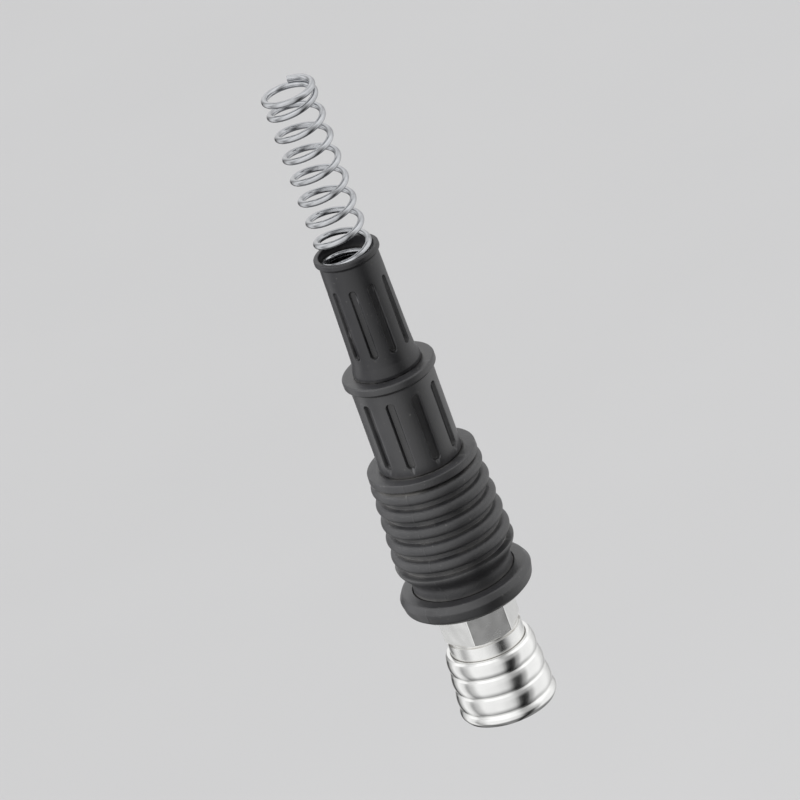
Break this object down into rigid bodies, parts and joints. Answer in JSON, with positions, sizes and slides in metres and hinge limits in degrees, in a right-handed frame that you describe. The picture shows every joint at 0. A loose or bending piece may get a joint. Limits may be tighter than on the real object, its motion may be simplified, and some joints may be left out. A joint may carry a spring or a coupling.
{
  "type": "quick disconnect coupler",
  "caption": "Female quick disconnect coupler with a sprung locking sleeve, balls and valve, a ribbed rubber hose grip, a fluted neck and an anti-kink spring.",
  "frame": {"origin": "centre of the socket's mouth face, on the axis", "axes": "+Z along the axis from the mouth towards the hose; -Y is square to one flat of the hexagon"},
  "size_m": [0.0326, 0.0326, 0.1695],
  "materials": {
    "nickel": "bright nickel plate on steel, lightly worn",
    "steel": "turned hardened steel",
    "spring_steel": "drawn spring wire, bright",
    "brass": "turned brass",
    "nylon": "moulded black nylon, satin",
    "bumper_rubber": "moulded black rubber",
    "grip_rubber": "ribbed black rubber, matt",
    "seal_rubber": "black nitrile",
    "collet_plastic": "natural acetal"
  },
  "bodies": {
    "body": {"front_body": "steel", "stop_washer": "steel", "snap_ring": "spring_steel", "plug_seal": "seal_rubber", "rear_body": "nickel", "body_seal": "seal_rubber", "valve_spring": "spring_steel", "valve_spring_seat": "brass", "valve_circlip": "spring_steel", "thread_seal": "seal_rubber", "hose_tail": "brass", "handle_core": "nylon", "bumper_ring": "bumper_rubber", "grip_boot": "grip_rubber", "clamp_collet": "collet_plastic", "gland_nut": "nylon", "guard_washer": "steel", "spring_guard": "spring_steel"},
    "sleeve_carrier": {"spring_washer": "steel", "sleeve_spring": "spring_steel"},
    "sleeve": {"locking_sleeve": "nickel"},
    "valve": {"valve_poppet": "brass", "valve_seal": "seal_rubber"},
    "ball_1": {"ball_1": "steel"},
    "ball_2": {"ball_2": "steel"},
    "ball_3": {"ball_3": "steel"},
    "ball_4": {"ball_4": "steel"},
    "ball_5": {"ball_5": "steel"},
    "ball_6": {"ball_6": "steel"}
  },
  "joints": [
    {"name": "sleeve_spin", "type": "hinge", "parent": "body", "child": "sleeve_carrier", "pos_m": [0, 0, 0.0159], "axis": [0, 0, 1], "continuous": true},
    {"name": "sleeve_slide", "type": "slide", "parent": "sleeve_carrier", "child": "sleeve", "axis": [0, 0, 1], "range_m": [0, 0.0036], "stiffness_N_per_m": 1500, "springref_m": -0.006, "deforming": ["sleeve_spring"]},
    {"name": "valve_slide", "type": "slide", "parent": "body", "child": "valve", "axis": [0, 0, 1], "range_m": [0, 0.003], "stiffness_N_per_m": 900, "springref_m": -0.004, "deforming": ["valve_spring"]},
    {"name": "ball_1_slide", "type": "slide", "parent": "body", "child": "ball_1", "axis": [1, 0, 0], "range_m": [0, 0.00115]},
    {"name": "ball_2_slide", "type": "slide", "parent": "body", "child": "ball_2", "axis": [0.5, 0.866, 0], "range_m": [0, 0.00115]},
    {"name": "ball_3_slide", "type": "slide", "parent": "body", "child": "ball_3", "axis": [-0.5, 0.866, 0], "range_m": [0, 0.00115]},
    {"name": "ball_4_slide", "type": "slide", "parent": "body", "child": "ball_4", "axis": [-1, 0, 0], "range_m": [0, 0.00115]},
    {"name": "ball_5_slide", "type": "slide", "parent": "body", "child": "ball_5", "axis": [-0.5, -0.866, 0], "range_m": [0, 0.00115]},
    {"name": "ball_6_slide", "type": "slide", "parent": "body", "child": "ball_6", "axis": [0.5, -0.866, 0], "range_m": [0, 0.00115]}
  ],
  "couplings": [
    {"joint": "ball_1_slide", "follows": "sleeve_slide", "ratio": 0.31944},
    {"joint": "ball_2_slide", "follows": "sleeve_slide", "ratio": 0.31944},
    {"joint": "ball_3_slide", "follows": "sleeve_slide", "ratio": 0.31944},
    {"joint": "ball_4_slide", "follows": "sleeve_slide", "ratio": 0.31944},
    {"joint": "ball_5_slide", "follows": "sleeve_slide", "ratio": 0.31944},
    {"joint": "ball_6_slide", "follows": "sleeve_slide", "ratio": 0.31944}
  ]
}
